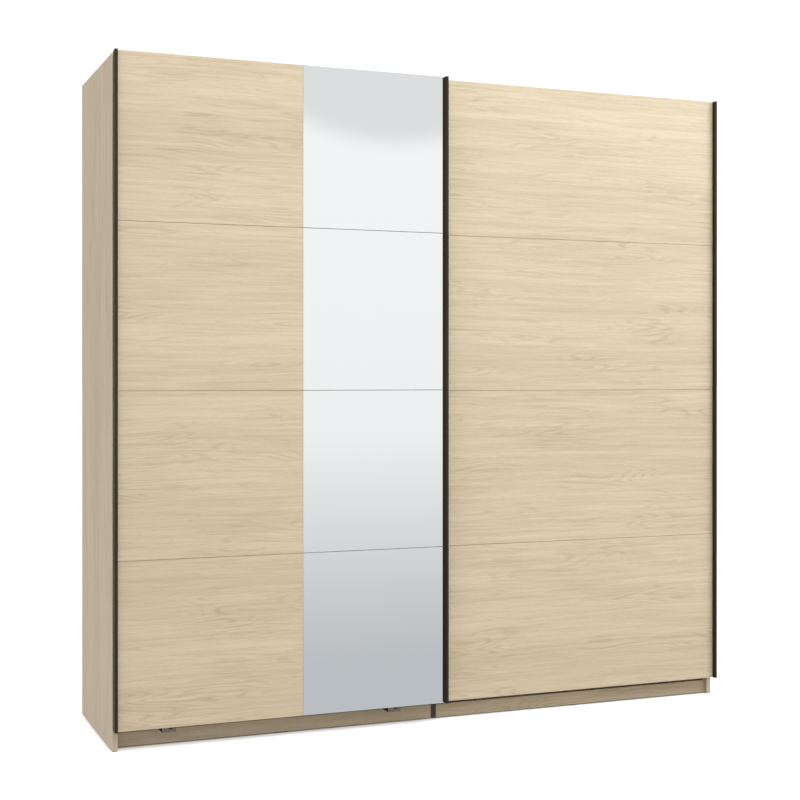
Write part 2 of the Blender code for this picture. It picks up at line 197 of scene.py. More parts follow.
class WardrobeSizes(bpy.types.PropertyGroup):
    """Sizes of the finish that a user may change."""

    board_round: length("Board edge", "Rounding of the banded board edges", 0.0010)
    facing_round: length("Facing edge", "Rounding of the door facings", 0.0003)
    band: length("Edge band", "Thickness of the glued edge band", 0.0020)
    arris: length("Mirror arris", "Width of the mirror's ground edge", 0.0004)
    grip_round: length("Grip corner", "Rounding of the grip strip's front corners", 0.0014)
    grip_cap: length("Grip cap", "Thickness of the caps that close the grip strips", 0.0025)
    corner: length("Fitting corner", "Rounding of the steel fittings' free corners", 0.0070)
    fold: length("Fold", "Outside radius where sheet steel is folded", 0.0016)
    screw_head: length("Screw head", "Radius of the screws' pan heads", 0.0040)
    nail_head: length("Nail head", "Radius of the nails in the back", 0.0024)
    nail_pitch: length("Nail pitch", "Spacing of the nails in the back", 0.1200)
    track_screw_pitch: length("Track screws", "Spacing of the screws in the tracks", 0.2600)


class WardrobeColours(bpy.types.PropertyGroup):
    """Colours of the finish that a user may change."""

    oak_light: colour("Oak, light", "Light ground of the oak print", "CCBCA2")
    oak_dark: colour("Oak, dark", "Dark lines of the oak print", "B3A184")
    anodised: colour("Anodised", "Dark bronze anodised grip strips", "38332D")
    lacquer: colour("Back lacquer", "Pale lacquer on the hardboard back", "DCD7CE")
    dark_plastic: colour("Dark plastic", "Moulded stops, caps and pads", "332D29")
    pale_plastic: colour("Pale plastic", "Glides under the side panels", "B8A587")
    nylon: colour("Nylon", "Wheels", "E6E5E0")
    rubber: colour("Rubber", "Buffers on the stops", "26262A")


def sizes():
    return bpy.context.scene.wardrobe_sizes


def colours():
    return bpy.context.scene.wardrobe_colours


# ---- materials -----------------------------------------------------------------------------

def fill(tree, node, inputs):
    """Fills a node's inputs: a socket is linked, and anything else is set."""
    for name, value in inputs.items():
        if isinstance(value, bpy.types.NodeSocket):
            tree.links.new(value, node.inputs[name])
        else:
            node.inputs[name].default_value = value


def add_node(tree, kind, inputs=None, output=None, **settings):
    """Adds one shader node with its inputs and settings, and gives one of its outputs."""
    node = tree.nodes.new("ShaderNode" + kind)
    for name, value in {**USUAL_SETTINGS.get(kind, {}), **settings}.items():
        setattr(node, name, value)
    fill(tree, node, {**USUAL_INPUTS.get(kind, {}), **(inputs or {})})
    return node.outputs[USUAL_OUTPUT.get(kind, 0) if output is None else output]


def own_colour(name, share=1.0):
    """A colour of the WardrobeColours group, optionally made darker or lighter."""
    return (*(min(1.0, c * share) for c in getattr(colours(), name)), 1.0)


def finish(add, grain, cloud, tints, sheen, relief):
    """What most materials share: a tint that follows a cloud, and a roughness and a relief that
    follow a grain."""
    (low, high, smooth, rough), (strength, deep) = sheen, relief
    return {
        "Base Color": add("Mix", {FACTOR: cloud, FIRST: tints[0], SECOND: tints[1]}),
        "Roughness": add("MapRange", {"Value": grain, "From Min": low, "From Max": high,
                         "To Min": smooth, "To Max": rough}),
        "Normal": add("Bump", {"Height": grain, "Strength": strength, "Distance": deep}),
    }


def oak_melamine(add, place, turn):
    """Melamine paper printed with light oak, pressed matt: long soft grain with small pointed
    figures, an even sheen, and relief too shallow to catch more than a grazing light."""
    grain = add("Mapping", {"Vector": place, "Rotation": turn})
    # the whole print sways 12 mm to each side along a board
    spot = add("Mapping", {"Vector": grain, "Scale": (1.6, 6.0, 6.0)})
    bend = add("TexNoise", {"Vector": spot, "Detail": 1.0}, 1)
    centred = add("VectorMath", {0: bend, 1: (0.5, 0.5, 0.5)}, operation="SUBTRACT")
    sway = add("VectorMath", {0: centred, 1: (0.0, 0.025, 0.025)}, operation="MULTIPLY")
    bent = add("VectorMath", {0: grain, 1: sway}, operation="ADD")
    # growth rings cut at a shallow angle, lines 8 mm apart that close in points 50 mm wide, and
    # where they show; fibre bands 4 mm, 12 mm and 120 mm wide that run on for 100 mm and more;
    # pores, dashes 1 mm wide and 25 mm long
    layers = {}
    for name, source, scale, detail, roughness in (
        ("figure", bent, (2.0, 18.0, 18.0), 1.0, 0.5),
        ("where", grain, (3.2, 12.0, 12.0), 2.0, 0.5),
        ("fine", bent, (7.0, 260.0, 260.0), 3.0, 0.65),
        ("wide", bent, (2.2, 75.0, 75.0), 2.0, 0.5),
        ("tone", grain, (0.5, 8.0, 8.0), 1.0, 0.5),
        ("dashes", bent, (40.0, 1000.0, 1000.0), 1.0, 0.5),
    ):
        spot = add("Mapping", {"Vector": source, "Scale": scale})
        layers[name] = add("TexNoise", {"Vector": spot, "Detail": detail, "Roughness": roughness})
    waves = add("Math", {0: layers["figure"], 1: 90.0}, operation="MULTIPLY")
    rings = add("Math", {0: waves}, operation="SINE")
    masks = [
        add("MapRange", {"Value": value, "From Min": low, "From Max": high, "To Min": least,
            "To Max": most}, interpolation_type="SMOOTHSTEP")
        for value, low, high, least, most in (
            (rings, 0.0, 1.0, 0.0, 1.0), (layers["where"], 0.48, 0.64, 0.08, 1.0),
            (layers["dashes"], 0.58, 0.72, 0.0, 0.30),
        )
    ]
    shown_rings = add("Math", {0: masks[0], 1: masks[1]}, operation="MULTIPLY")
    # how dark the print is: 0 on the light ground, 1 in the dark lines
    depth = -1.20
    for layer, weight in ((layers["fine"], 1.15), (layers["wide"], 1.15), (layers["tone"], 0.75),
                          (shown_rings, 0.38)):
        depth = add("Math", {0: layer, 1: weight, 2: depth}, operation="MULTIPLY_ADD")
    ground = add("Mix", {FACTOR: depth, FIRST: own_colour("oak_light"),
                 SECOND: own_colour("oak_dark")})
    printed = finish(add, layers["fine"], masks[2], (ground, own_colour("oak_dark", 0.72)),
                     (0.2, 0.8, 0.46, 0.58), (0.5, 0.00012))
    return {**printed, "Specular IOR Level": 0.3}


def edge_band(add, place, turn):
    """Printed ABS edge band: the oak's colour with straight fine streaks only, a little glossier
    than the board it is glued to."""
    grain = add("Mapping", {"Vector": place, "Rotation": turn})
    spot = add("Mapping", {"Vector": grain, "Scale": (4.0, 500.0, 500.0)})
    streaks = add("TexNoise", {"Vector": spot, "Detail": 3.0})
    depth = add("MapRange", {"Value": streaks, "From Min": 0.25, "From Max": 0.75})
    printed = add("Mix", {FACTOR: depth, FIRST: own_colour("oak_light"),
                  SECOND: own_colour("oak_dark")})
    sheen = add("MapRange", {"Value": streaks, "To Min": 0.36, "To Max": 0.46})
    return {"Base Color": printed, "Roughness": sheen}


def particle_board(add, place):
    """Raw particle board on unbanded rear edges: pressed chips 2 to 4 mm long, dry and matt."""
    spot = add("Mapping", {"Vector": place, "Scale": (420.0, 420.0, 260.0)})
    share = add("SeparateColor", {"Color": add("TexVoronoi", {"Vector": spot}, "Color")})
    height = add("TexVoronoi", {"Vector": spot}, "Distance")
    chips = add("Mix", {FACTOR: share, FIRST: linear("C4A57A"), SECOND: linear("8E6F49")})
    relief = add("Bump", {"Height": height, "Strength": 0.6, "Distance": 0.0003})
    return {"Base Color": chips, "Roughness": 0.9, "Normal": relief}


def silvered_mirror(add, place):
    """Silver under clear float glass: a hard, even reflection with the glass's faint cool tint,
    and a trace of film from wiping that only softens it in places."""
    spot = add("Mapping", {"Vector": place, "Scale": (9.0, 9.0, 5.0)})
    wiped = add("TexNoise", {"Vector": spot, "Detail": 4.0})
    film = add("MapRange", {"Value": wiped, "From Min": 0.3, "From Max": 0.8, "To Max": 0.02})
    return {"Base Color": linear("F4F6F6"), "Metallic": 1.0, "Roughness": film}


def mirror_side(add, place, dark, light, strength, deep, others):
    """A mirror's edge and back, with one grain 2 mm across: glass ground grey green with faint
    wheel marks, and flat grey paint that is slightly pebbled from the roller."""
    marks = add("TexNoise", {"Vector": place, "Scale": 500.0})
    tint = add("Mix", {FACTOR: marks, FIRST: linear(dark), SECOND: linear(light)})
    relief = add("Bump", {"Height": marks, "Strength": strength, "Distance": deep})
    return {"Base Color": tint, "Normal": relief, **others}


def bronze_anodised(add, place):
    """Extruded aluminium, brushed and anodised dark bronze: a satin metal that is nearly black
    face on and lifts to warm grey at a grazing angle, with hairlines along its length."""
    # hairlines of 0.4 mm, drawn three times coarser than real so that they show
    spot = add("Mapping", {"Vector": place, "Scale": (800.0, 800.0, 6.0)})
    hair = add("TexNoise", {"Vector": spot, "Detail": 3.0})
    cloud = add("TexNoise", {"Vector": add("Mapping", {"Vector": place,
                "Scale": (14.0, 14.0, 3.0)})})
    dyed = finish(add, hair, cloud, (own_colour("anodised"), own_colour("anodised", 1.5)),
                  (0.25, 0.75, 0.30, 0.44), (0.4, 0.00004))
    return {**dyed, "Metallic": 0.85, "Specular Tint": linear("AA9E8E")}


def drawn_metal(add, place, dark, light, smooth, rough, metallic=1.0):
    """A metal drawn or extruded along X: die lines about 1 mm apart, and soft clouds where it
    was handled."""
    spot = add("Mapping", {"Vector": place, "Scale": (5.0, 900.0, 900.0)})
    lines = add("TexNoise", {"Vector": spot, "Detail": 3.0})
    clouds = add("TexNoise", {"Vector": place, "Scale": 30.0, "Detail": 4.0})
    bright = finish(add, lines, clouds, (linear(dark), linear(light)),
                    (0.25, 0.75, smooth, rough), (0.35, 0.00003))
    return {**bright, "Metallic": metallic}


def zinc_plate(add, place, dark, light, metallic=1.0):
    """Zinc plate on pressed steel, bright or passivated: soft crystals about 6 mm across that
    shine unequally, and fine scuffs."""
    spot = add("Mapping", {"Vector": place, "Scale": (170.0, 170.0, 170.0)})
    crystals = add("TexVoronoi", {"Vector": spot}, "Color")
    facet, shine = (add("SeparateColor", {"Color": crystals}, part) for part in ("Red", "Green"))
    tint = add("Mix", {FACTOR: facet, FIRST: linear(dark), SECOND: linear(light)})
    satin = add("MapRange", {"Value": shine, "To Min": 0.28, "To Max": 0.44})
    scuffs = add("TexNoise", {"Vector": place, "Scale": 260.0, "Detail": 4.0})
    relief = add("Bump", {"Height": scuffs, "Strength": 0.4, "Distance": 0.00004})
    return {"Base Color": tint, "Metallic": metallic, "Roughness": satin, "Normal": relief}


def moulded(add, place, name, roughness, grit):
    """Moulded plastic with a spark-eroded grain; grit is its count per metre."""
    grain = add("TexNoise", {"Vector": place, "Scale": grit, "Detail": 3.0})
    flow = add("TexNoise", {"Vector": place, "Scale": 25.0, "Detail": 2.0})
    return finish(add, grain, flow, (own_colour(name, 0.82), own_colour(name)),
                  (0.3, 0.7, roughness - 0.06, roughness + 0.06), (0.5, 0.00008))


def milky_nylon(add, place):
    """Machined nylon wheels: milky white, light goes a millimetre in before it comes back."""
    return {**moulded(add, place, "nylon", 0.38, 900.0), "Subsurface Weight": 0.15,
            "Subsurface Radius": (0.002, 0.0018, 0.0015), "Subsurface Scale": 1.0}


def lacquered_hardboard(add, place):
    """Thin pressed fibre board, lacquered pale: flat, with fibre bundles 3 to 8 mm long."""
    spot = add("Mapping", {"Vector": place, "Scale": (240.0, 240.0, 160.0)})
    fibres = add("TexNoise", {"Vector": spot, "Detail": 5.0, "Roughness": 0.65})
    clouds = add("TexNoise", {"Vector": place, "Scale": 3.0, "Detail": 3.0})
    tint = own_colour("lacquer")
    for layer, low, high, share in ((fibres, 0.50, 0.80, 0.55), (clouds, 0.35, 0.80, 0.08)):
        veil = add("MapRange", {"Value": layer, "From Min": low, "From Max": high,
                   "To Max": share}, interpolation_type="SMOOTHSTEP")
        tint = add("Mix", {FACTOR: veil, FIRST: tint, SECOND: own_colour("lacquer", 0.8)})
    relief = add("Bump", {"Height": fibres, "Strength": 0.6, "Distance": 0.00012})
    return {"Base Color": tint, "Roughness": 0.6, "Normal": relief}


MAKERS = {
    "light_oak_melamine_level": (oak_melamine, GRAIN_TURN["X"]),
    "light_oak_melamine_upright": (oak_melamine, GRAIN_TURN["Z"]),
    "printed_edge_band_level": (edge_band, GRAIN_TURN["X"]),
    "printed_edge_band_upright": (edge_band, GRAIN_TURN["Z"]),
    "raw_particle_board": (particle_board,),
    "silvered_mirror_glass": (silvered_mirror,),
    "polished_glass_edge": (mirror_side, "75807C", "93A09B", 0.3, 0.00005,
                            {"Roughness": 0.25, "Coat Weight": 0.3, "Coat Roughness": 0.1}),
    "mirror_backing_paint": (mirror_side, "6F7371", "868A88", 0.4, 0.0001, {"Roughness": 0.7}),
    "dark_bronze_anodised_aluminium": (bronze_anodised,),
    "mill_finish_aluminium": (drawn_metal, "D9DADB", "E8E9EA", 0.28, 0.42),
    "black_anodised_aluminium": (drawn_metal, "2A2A2B", "383839", 0.34, 0.48, 0.8),
    "chromed_steel_tube": (drawn_metal, "DADBDD", "E6E7E9", 0.05, 0.14),
    "bright_zinc_plated_steel": (zinc_plate, "B4B8BC", "CDD1D4"),
    "grey_zinc_plated_steel": (zinc_plate, "7B6F67", "897D74", 0.7),
    "dark_passivated_steel": (zinc_plate, "43403D", "4B4845"),
    "bronze_passivated_steel": (zinc_plate, "5C4A39", "665442", 0.5),
    "dark_brown_abs": (moulded, "dark_plastic", 0.52, 1400.0),
    "pale_polypropylene": (moulded, "pale_plastic", 0.46, 1100.0),
    "black_rubber": (moulded, "rubber", 0.80, 800.0),
    "white_nylon": (milky_nylon,),
    "lacquered_hardboard": (lacquered_hardboard,),
}


def new_material(name):
    """An empty material and its tree of nodes."""
    made = bpy.data.materials.new(name)
    made.use_nodes = True
    return made, made.node_tree


def surface(name):
    """The named material, made when it is first asked for."""
    made = bpy.data.materials.get(name)
    if made is None:
        maker, *options = MAKERS[name]
        made, tree = new_material(name)
        add = partial(add_node, tree)
        inputs = maker(add, add("TexCoord", output="Object"), *options)
        fill(tree, tree.nodes["Principled BSDF"], inputs)
    return made


# ---- modelling helpers ---------------------------------------------------------------------

def only(*pieces):
    """Leaves edit mode and selects these pieces and nothing else, with the first one active."""
    if bpy.context.mode != "OBJECT":
        bpy.ops.object.mode_set(mode="OBJECT")
    bpy.ops.object.select_all(action="DESELECT")
    for piece in pieces:
        piece.select_set(True)
    if pieces:
        bpy.context.view_layer.objects.active = pieces[0]


def named(name):
    """The active piece, with its object and its mesh named."""
    piece = bpy.context.object
    piece.name = name
    piece.data.name = name
    return piece


def settle(name, materials):
    """Names the new piece, puts its place into its mesh and gives it its materials."""
    bpy.ops.object.transform_apply(location=True, rotation=True, scale=True)
    piece = named(name)
    for material in materials:
        piece.data.materials.append(surface(material))
    return piece


def on_axis(axis, value):
    """A vector along one axis."""
    return Vector(value if name == axis else 0 for name in AXES)


def start_box(name, low, high, *materials):
    """A box between two corners, as the start of a piece."""
    only()
    low, high = Vector(low), Vector(high)
    bpy.ops.mesh.primitive_cube_add(size=1, location=(low + high) / 2, scale=high - low)
    return settle(name, materials)


def start_round(name, middle, axis, radius, depth, sides, *materials):
    """A round bar about one axis, as the start of a piece."""
    only()
    bpy.ops.mesh.primitive_cylinder_add(vertices=sides, radius=radius, depth=depth,
                                        location=middle, rotation=TURN_TO[axis])
    return settle(name, materials)


def pick(kind, test):
    """Selects the faces or edges whose middle and direction pass a test, in edit mode."""
    if bpy.context.mode != "EDIT_MESH":
        bpy.ops.object.mode_set(mode="EDIT")
    bpy.ops.mesh.select_mode(type=kind)
    bpy.ops.mesh.select_all(action="DESELECT")
    data = bpy.context.object.data
    shape = bmesh.from_edit_mesh(data)
    if kind == "FACE":
        for face in shape.faces:
            face.select_set(bool(test(face.calc_center_median(), face.normal)))
    else:
        for edge in shape.edges:
            first, second = (vert.co for vert in edge.verts)
            way = (second - first).normalized()
            edge.select_set(bool(test((first + second) / 2, way)))
    shape.select_flush_mode()
    bmesh.update_edit_mesh(data)


def everything(_middle, _way):
    return True


def cut(axis, at):
    """Cuts the whole piece with a plane across one axis, without parting it."""
    pick("FACE", everything)
    bpy.ops.mesh.bisect(plane_co=on_axis(axis, at), plane_no=on_axis(axis, 1))


def facing(side, low=None, high=None):
    """A test for the faces that look to one side, with their middle between two corners."""
    axis, sign = SIDES[side]

    def test(middle, normal):
        if normal[axis] * sign < SQUARE:
            return False
        above = low is None or all(m > l for m, l in zip(middle, low) if l is not None)
        below = high is None or all(m < h for m, h in zip(middle, high) if h is not None)
        return above and below

    return test


def extrude(move):
    bpy.ops.mesh.extrude_region_move(TRANSFORM_OT_translate={"value": move})


def step(inset, move):
    """Insets the selected faces and moves what is left of them."""
    bpy.ops.mesh.inset(thickness=inset)
    extrude(move)


def paint(index):
    """Gives the selected faces one of the piece's materials."""
    bpy.context.object.active_material_index = index
    bpy.ops.object.material_slot_assign()


def round_edges(radius, segments=3, test=everything):
    pick("EDGE", test)
    bpy.ops.mesh.bevel(offset=radius, segments=segments, affect="EDGES")


def along(axis, *places):
    """A test for the edges that run along an axis, optionally near places (axis, value)."""
    index = AXES[axis]

    def test(middle, way):
        if abs(way[index]) < STRAIGHT:
            return False
        return all(abs(middle[AXES[name]] - value) < TOUCH for name, value in places)

    return test


def rim(axis, at):
    """A test for the edges that lie in one plane across an axis."""
    index = AXES[axis]
    return lambda middle, way: abs(middle[index] - at) < TOUCH and abs(way[index]) < 0.1


def any_of(*tests):
    return lambda middle, way: any(test(middle, way) for test in tests)


def joined(name, *pieces):
    """Several shapes as one piece, with the first one's name and materials first."""
    only(*pieces)
    bpy.ops.object.join()
    return named(name)


def copied(piece, name, move):
    """A copy with its own mesh, moved."""
    only(piece)
    bpy.ops.object.duplicate(linked=False)
    bpy.ops.transform.translate(value=move)
    bpy.ops.object.transform_apply(location=True, rotation=False, scale=False)
    return named(name)


def repeated(first, start, places):
    """A small part with a copy of it at each of some places; it stands at the start itself."""
    start = Vector(start)
    return [first, *(copied(first, first.name, Vector(place) - start) for place in places)]


def hand_over(piece, *nodes):
    """Shades a finished piece, keeps its flat faces flat, and lets it stand for its nodes."""
    only(piece)
    bpy.ops.object.shade_smooth_by_angle(angle=math.radians(40))
    bpy.ops.object.modifier_add(type="WEIGHTED_NORMAL")
    piece.modifiers[-1].keep_sharp = True
    bpy.ops.object.modifier_apply(modifier=piece.modifiers[-1].name)
    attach(piece, BODY_OF[nodes[0]])
    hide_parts(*nodes)
    return piece


def hand_over_all(make, first, *others):
    """Models one node's piece, and hands it over with a copy of it for each like node."""
    piece = make(first)
    kind = piece.name.removeprefix(first)
    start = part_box(first)[0]
    copies = [copied(piece, node + kind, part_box(node)[0] - start) for node in others]
    for node, made in zip((first, *others), (piece, *copies)):
        hand_over(made, node)


def board(node, way, bands=(), raw=(), rounding=None):
    """A melamine board in a node's place, rounded, banded on some sides and raw on others."""
    low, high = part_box(node)
    piece = start_box(node + "_board", low, high, "light_oak_melamine_" + way,
                      "raw_particle_board", "printed_edge_band_" + way)
    round_edges(rounding or sizes().board_round)
    for side in bands:
        axis, sign = SIDES[side]
        at = (high if sign > 0 else low)[axis] - sign * sizes().band
        cut("XYZ"[axis], at)
        pick("FACE", lambda mid, normal: (mid[axis] - at) * sign > 0)
        paint(2)
    for side in raw:
        pick("FACE", facing(side))
        paint(1)
    return piece


def boards(nodes, *options):
    """Boards of one size and finish."""
    hand_over_all(lambda node: board(node, *options), *nodes)


def pad(material, node):
    """A moulded pad with round corners and a softened foot."""
    low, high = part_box(node)
    piece = start_box(node + "_pad", low, high, material)
    round_edges(PAD_CORNER[material], 4, along("Z"))
    round_edges(SOFTENED, 2, rim("Z", low.z))
    return piece


def both(pattern):
    """A node's name with left and with right in it."""
    return pattern.format("left"), pattern.format("right")


def screws(places, axis, sign, radius=None):
    """Pan head screws on a face that looks along an axis, with round driver recesses."""
    radius = radius or sizes().screw_head
    tall = radius * 0.5
    centre = Vector(places[0]) + on_axis(axis, sign * tall / 2)
    first = start_round("screw", centre, axis, radius, tall, 20, "bright_zinc_plated_steel")
    index = AXES[axis]
    round_edges(radius * 0.3, 3, rim(axis, places[0][index] + sign * tall))
    pick("FACE", lambda mid, normal: normal[index] * sign > SQUARE)
    step(radius * 0.25, on_axis(axis, -sign * tall * 0.6))
    return repeated(first, places[0], places[1:])


# ---- operators -----------------------------------------------------------------------------

class WARDROBE_OT_side_panels(bpy.types.Operator):
    """Adds the two side panels and the glides under them"""

    bl_idname = "wardrobe.side_panels"
    bl_label = "Side Panels"
    bl_options = {"REGISTER", "UNDO"}

    def execute(self, _context):
        for node in both("side_panel_{}"):
            boards((node,), "upright", ("front", "top"), ("bottom", "back"))
        for pattern in ("glide_front_{}", "glide_rear_{}"):
            hand_over_all(partial(pad, "pale_polypropylene"), *both(pattern))
        return {"FINISHED"}


class WARDROBE_OT_carcass(bpy.types.Operator):
    """Adds the top, bottoms, shelves, partition and support"""

    bl_idname = "wardrobe.carcass"
    bl_label = "Carcass Boards"
    bl_options = {"REGISTER", "UNDO"}

    def execute(self, _context):
        for nodes in (("top_panel",), both("bottom_panel_{}"), both("hat_shelf_{}")):
            boards(nodes, "level", ("front",), ("left", "right", "back"))
        for node in ("centre_partition", "centre_support"):
            boards((node,), "upright", ("front",), ("bottom", "top", "back"))
        return {"FINISHED"}


class WARDROBE_OT_back(bpy.types.Operator):
    """Adds the two hardboard backs and the nails that hold them"""

    bl_idname = "wardrobe.back"
    bl_label = "Back"
    bl_options = {"REGISTER", "UNDO"}

    def execute(self, _context):
        hand_over_all(self.sheet, *both("back_panel_{}"))
        return {"FINISHED"}

    def sheet(self, node):
        low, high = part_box(node)
        piece = start_box(node + "_sheet", low, high, "lacquered_hardboard")
        round_edges(0.0004, 2)
        return joined(node + "_sheet", piece, *self.nails(low, high))

    def nails(self, low, high):
        """Nail heads round one sheet, and along the shelf behind it."""
        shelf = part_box("hat_shelf_left")
        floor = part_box("bottom_panel_left")
        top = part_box("top_panel")
        rows = [(box[0].z + box[1].z) / 2 for box in (floor, shelf, top)]
        inset = BACK_NAIL_INSET
        span = high.x - low.x - 2 * inset
        across = round(span / sizes().nail_pitch)
        xs = [low.x + inset + i * span / across for i in range(across + 1)]
        upright = round((rows[2] - rows[0]) / sizes().nail_pitch)
        zs = [rows[0] + i * (rows[2] - rows[0]) / upright for i in range(1, upright)]
        proud = high.y + NAIL_TALL / 3
        places = [(x, proud, z) for z in rows for x in xs]
        places += [(x, proud, z) for z in zs if abs(z - rows[1]) > inset for x in (xs[0], xs[-1])]
        first = start_round("nail", places[0], "Y", sizes().nail_head, NAIL_TALL, 12,
                            "bright_zinc_plated_steel")
        round_edges(NAIL_TALL / 2, 2, rim("Y", proud + NAIL_TALL / 2))
        return repeated(first, places[0], places[1:])


class WARDROBE_OT_plinth(bpy.types.Operator):
    """Adds the plinth boards, the piece that joins them and the pads under them"""

    bl_idname = "wardrobe.plinth"
    bl_label = "Plinth"
    bl_options = {"REGISTER", "UNDO"}

    def execute(self, _context):
        boards(both("plinth_{}"), "level", ("top",), ("bottom",))
        hand_over_all(partial(pad, "dark_brown_abs"), *both("plinth_foot_{}"))
        low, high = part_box("plinth_connector")
        piece = start_box("plinth_connector_moulding", low, high, "dark_brown_abs")
        # two upright channels that the boards' ends push against
        third = (high.x - low.x) / 3
        cut("X", low.x + third)
        cut("X", high.x - third)
        pick("FACE", facing("front", (low.x + third, None, None), (high.x - third, None, None)))
        extrude((0, CONNECTOR_CHANNEL, 0))
        round_edges(SOFTENED, 2, along("Z"))
        hand_over(piece, "plinth_connector")
        return {"FINISHED"}


class WARDROBE_OT_clothes_rails(bpy.types.Operator):
    """Adds the clothes rails and the flanged cups that hold their ends"""

    bl_idname = "wardrobe.clothes_rails"
    bl_label = "Clothes Rails"
    bl_options = {"REGISTER", "UNDO"}

    def execute(self, _context):
        hand_over_all(self.tube, *both("clothes_rail_{}"))
        hand_over_all(self.cup, "rail_cup_left_outer", "rail_cup_right_middle")
        hand_over_all(self.cup, "rail_cup_left_middle", "rail_cup_right_outer")
        return {"FINISHED"}

    def tube(self, node):
        """A thin-walled round tube, open at both ends."""
        low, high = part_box(node)
        piece = start_round(node + "_tube", (low + high) / 2, "X", (high.z - low.z) / 2,
                            high.x - low.x, 64, "chromed_steel_tube")
        pick("FACE", lambda mid, normal: abs(normal.x) > SQUARE)
        bpy.ops.mesh.inset(thickness=RAIL_WALL)
        bpy.ops.mesh.bridge_edge_loops()
        return piece

    def cup(self, node):
        """A flange with three screws and a collar that takes the left rail's end."""
        low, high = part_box(node)
        rail_low, rail_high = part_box("clothes_rail_left")
        sign = 1 if rail_low.x + rail_high.x > low.x + high.x else -1
        wall, mouth = (low.x, high.x) if sign > 0 else (high.x, low.x)
        radius = (high.z - low.z) / 2
        collar = (rail_high.z - rail_low.z) / 2 + CLEARANCE + COLLAR_WALL
        middle = Vector((wall + sign * FLANGE / 2, (rail_low.y + rail_high.y) / 2,
                         (rail_low.z + rail_high.z) / 2))
        piece = start_round(node + "_flange", middle, "X", radius, FLANGE, 64,
                            "chromed_steel_tube")
        front = wall + sign * FLANGE
        round_edges(ROUND_CROWN, 3, rim("X", front))
        pick("FACE", facing("right" if sign > 0 else "left"))
        step(radius - ROUND_CROWN - collar, (mouth - front, 0, 0))
        step(COLLAR_WALL, ((front - mouth) * 0.98, 0, 0))

        def lip(mid, way):
            reach = math.hypot(mid.y - middle.y, mid.z - middle.z)
            on_lip = min(abs(reach - collar), abs(reach - collar + COLLAR_WALL)) < CLEARANCE
            return on_lip and rim("X", mouth)(mid, way)

        round_edges(FINE_EDGE, 2, lip)
        reach = (radius + collar) / 2
        turns = [math.radians(turn) for turn in (90, 210, 330)]
        places = [(front, middle.y + reach * math.cos(turn), middle.z + reach * math.sin(turn))
                  for turn in turns]
        return joined(node + "_flange", piece, *screws(places, "X", sign, CUP_SCREW_HEAD))


class WARDROBE_OT_tracks(bpy.types.Operator):
    """Adds the running track with its stops, and the guide track under the floor"""

    bl_idname = "wardrobe.tracks"
    bl_label = "Tracks and Stops"
    bl_options = {"REGISTER", "UNDO"}

    def execute(self, _context):
        self.top_track()
        self.guide_track()
        for side, sign in (("left", 1), ("right", -1)):
            self.stop(f"track_stop_{side}", sign)
        return {"FINISHED"}

    def top_track(self):
        """A base with two rounded ribs and a row of screws between them."""
        low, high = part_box("top_track")
        base = low.z + TRACK_BASE
        piece = start_box("top_track_extrusion", low, (high.x, high.y, base),
                          "mill_finish_aluminium")
        lanes = (low.y + TRACK_MARGIN + RIB / 2, high.y - TRACK_MARGIN - RIB / 2)
        self.strips(lanes, RIB, "top", high.z - base)
        round_edges(ROUND_CROWN, 4, along("X", ("Z", high.z)))
        round_edges(MOULDED_EDGE, 2, along("X", ("Z", base)))
        count = round((high.x - low.x) / sizes().track_screw_pitch)
        start = low.x + TRACK_SCREW_INSET
        pitch = (high.x - TRACK_SCREW_INSET - start) / count
        places = [(start + i * pitch, (low.y + high.y) / 2, base) for i in range(count + 1)]
        hand_over(joined("top_track_extrusion", piece, *screws(places, "Z", 1)), "top_track")

    def guide_track(self):
        """A flat extrusion with two grooves that are open downwards."""
        low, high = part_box("guide_track")
        piece = start_box("guide_track_extrusion", low, high, "black_anodised_aluminium")
        lanes = (low.y + GUIDE_WALL + GROOVE / 2, high.y - GUIDE_WALL - GROOVE / 2)
        self.strips(lanes, GROOVE, "bottom", GROOVE_DEPTH)
        round_edges(EXTRUSION_EDGE, 2, along("X"))
        hand_over(piece, "guide_track")

    def strips(self, lanes, width, side, rise):
        """Raises one strip of a side along each lane, which makes a rib or a groove."""
        edges = [(lane - width / 2, lane + width / 2) for lane in lanes]
        for edge in edges:
            for at in edge:
                cut("Y", at)
        for front, back in edges:
            pick("FACE", facing(side, (None, front, None), (None, back, None)))
            extrude((0, 0, rise))

    def stop(self, node, sign):
        """A moulded block with a rubber buffer on its inner face and a screw on top."""
        low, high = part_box(node)
        piece = start_box(node + "_block", low, high, "dark_brown_abs", "black_rubber")
        inner = high.x if sign > 0 else low.x
        cut("X", inner - sign * BUFFER)
        round_edges(STOP_CORNER, 3, along("Y", ("Z", high.z)))
        round_edges(MOULDED_EDGE, 2, along("Z"))
        pick("FACE", lambda mid, normal: (mid.x - inner) * sign > -BUFFER)
        paint(1)
        pick("FACE", facing("right" if sign > 0 else "left"))
        step(BUFFER_RIM, (-sign * BUFFER_DIP, 0, 0))
        middle = ((low.x + high.x - sign * BUFFER) / 2, (low.y + high.y) / 2, high.z)
        heads = screws([middle], "Z", 1, STOP_SCREW_HEAD)
        hand_over(joined(node + "_block", piece, *heads), node)


class WARDROBE_OT_door_boards(bpy.types.Operator):
    """Adds the core boards and the oak facings of both doors"""

    bl_idname = "wardrobe.door_boards"
    bl_label = "Door Boards"
    bl_options = {"REGISTER", "UNDO"}

    def execute(self, _context):
        boards(both("door_{}_core"), "level", ("top", "bottom"))
        for side in ("left", "right"):
            boards([f"door_{side}_panel_{row}" for row in ROWS], "level", (), (),
                   sizes().facing_round)
        return {"FINISHED"}


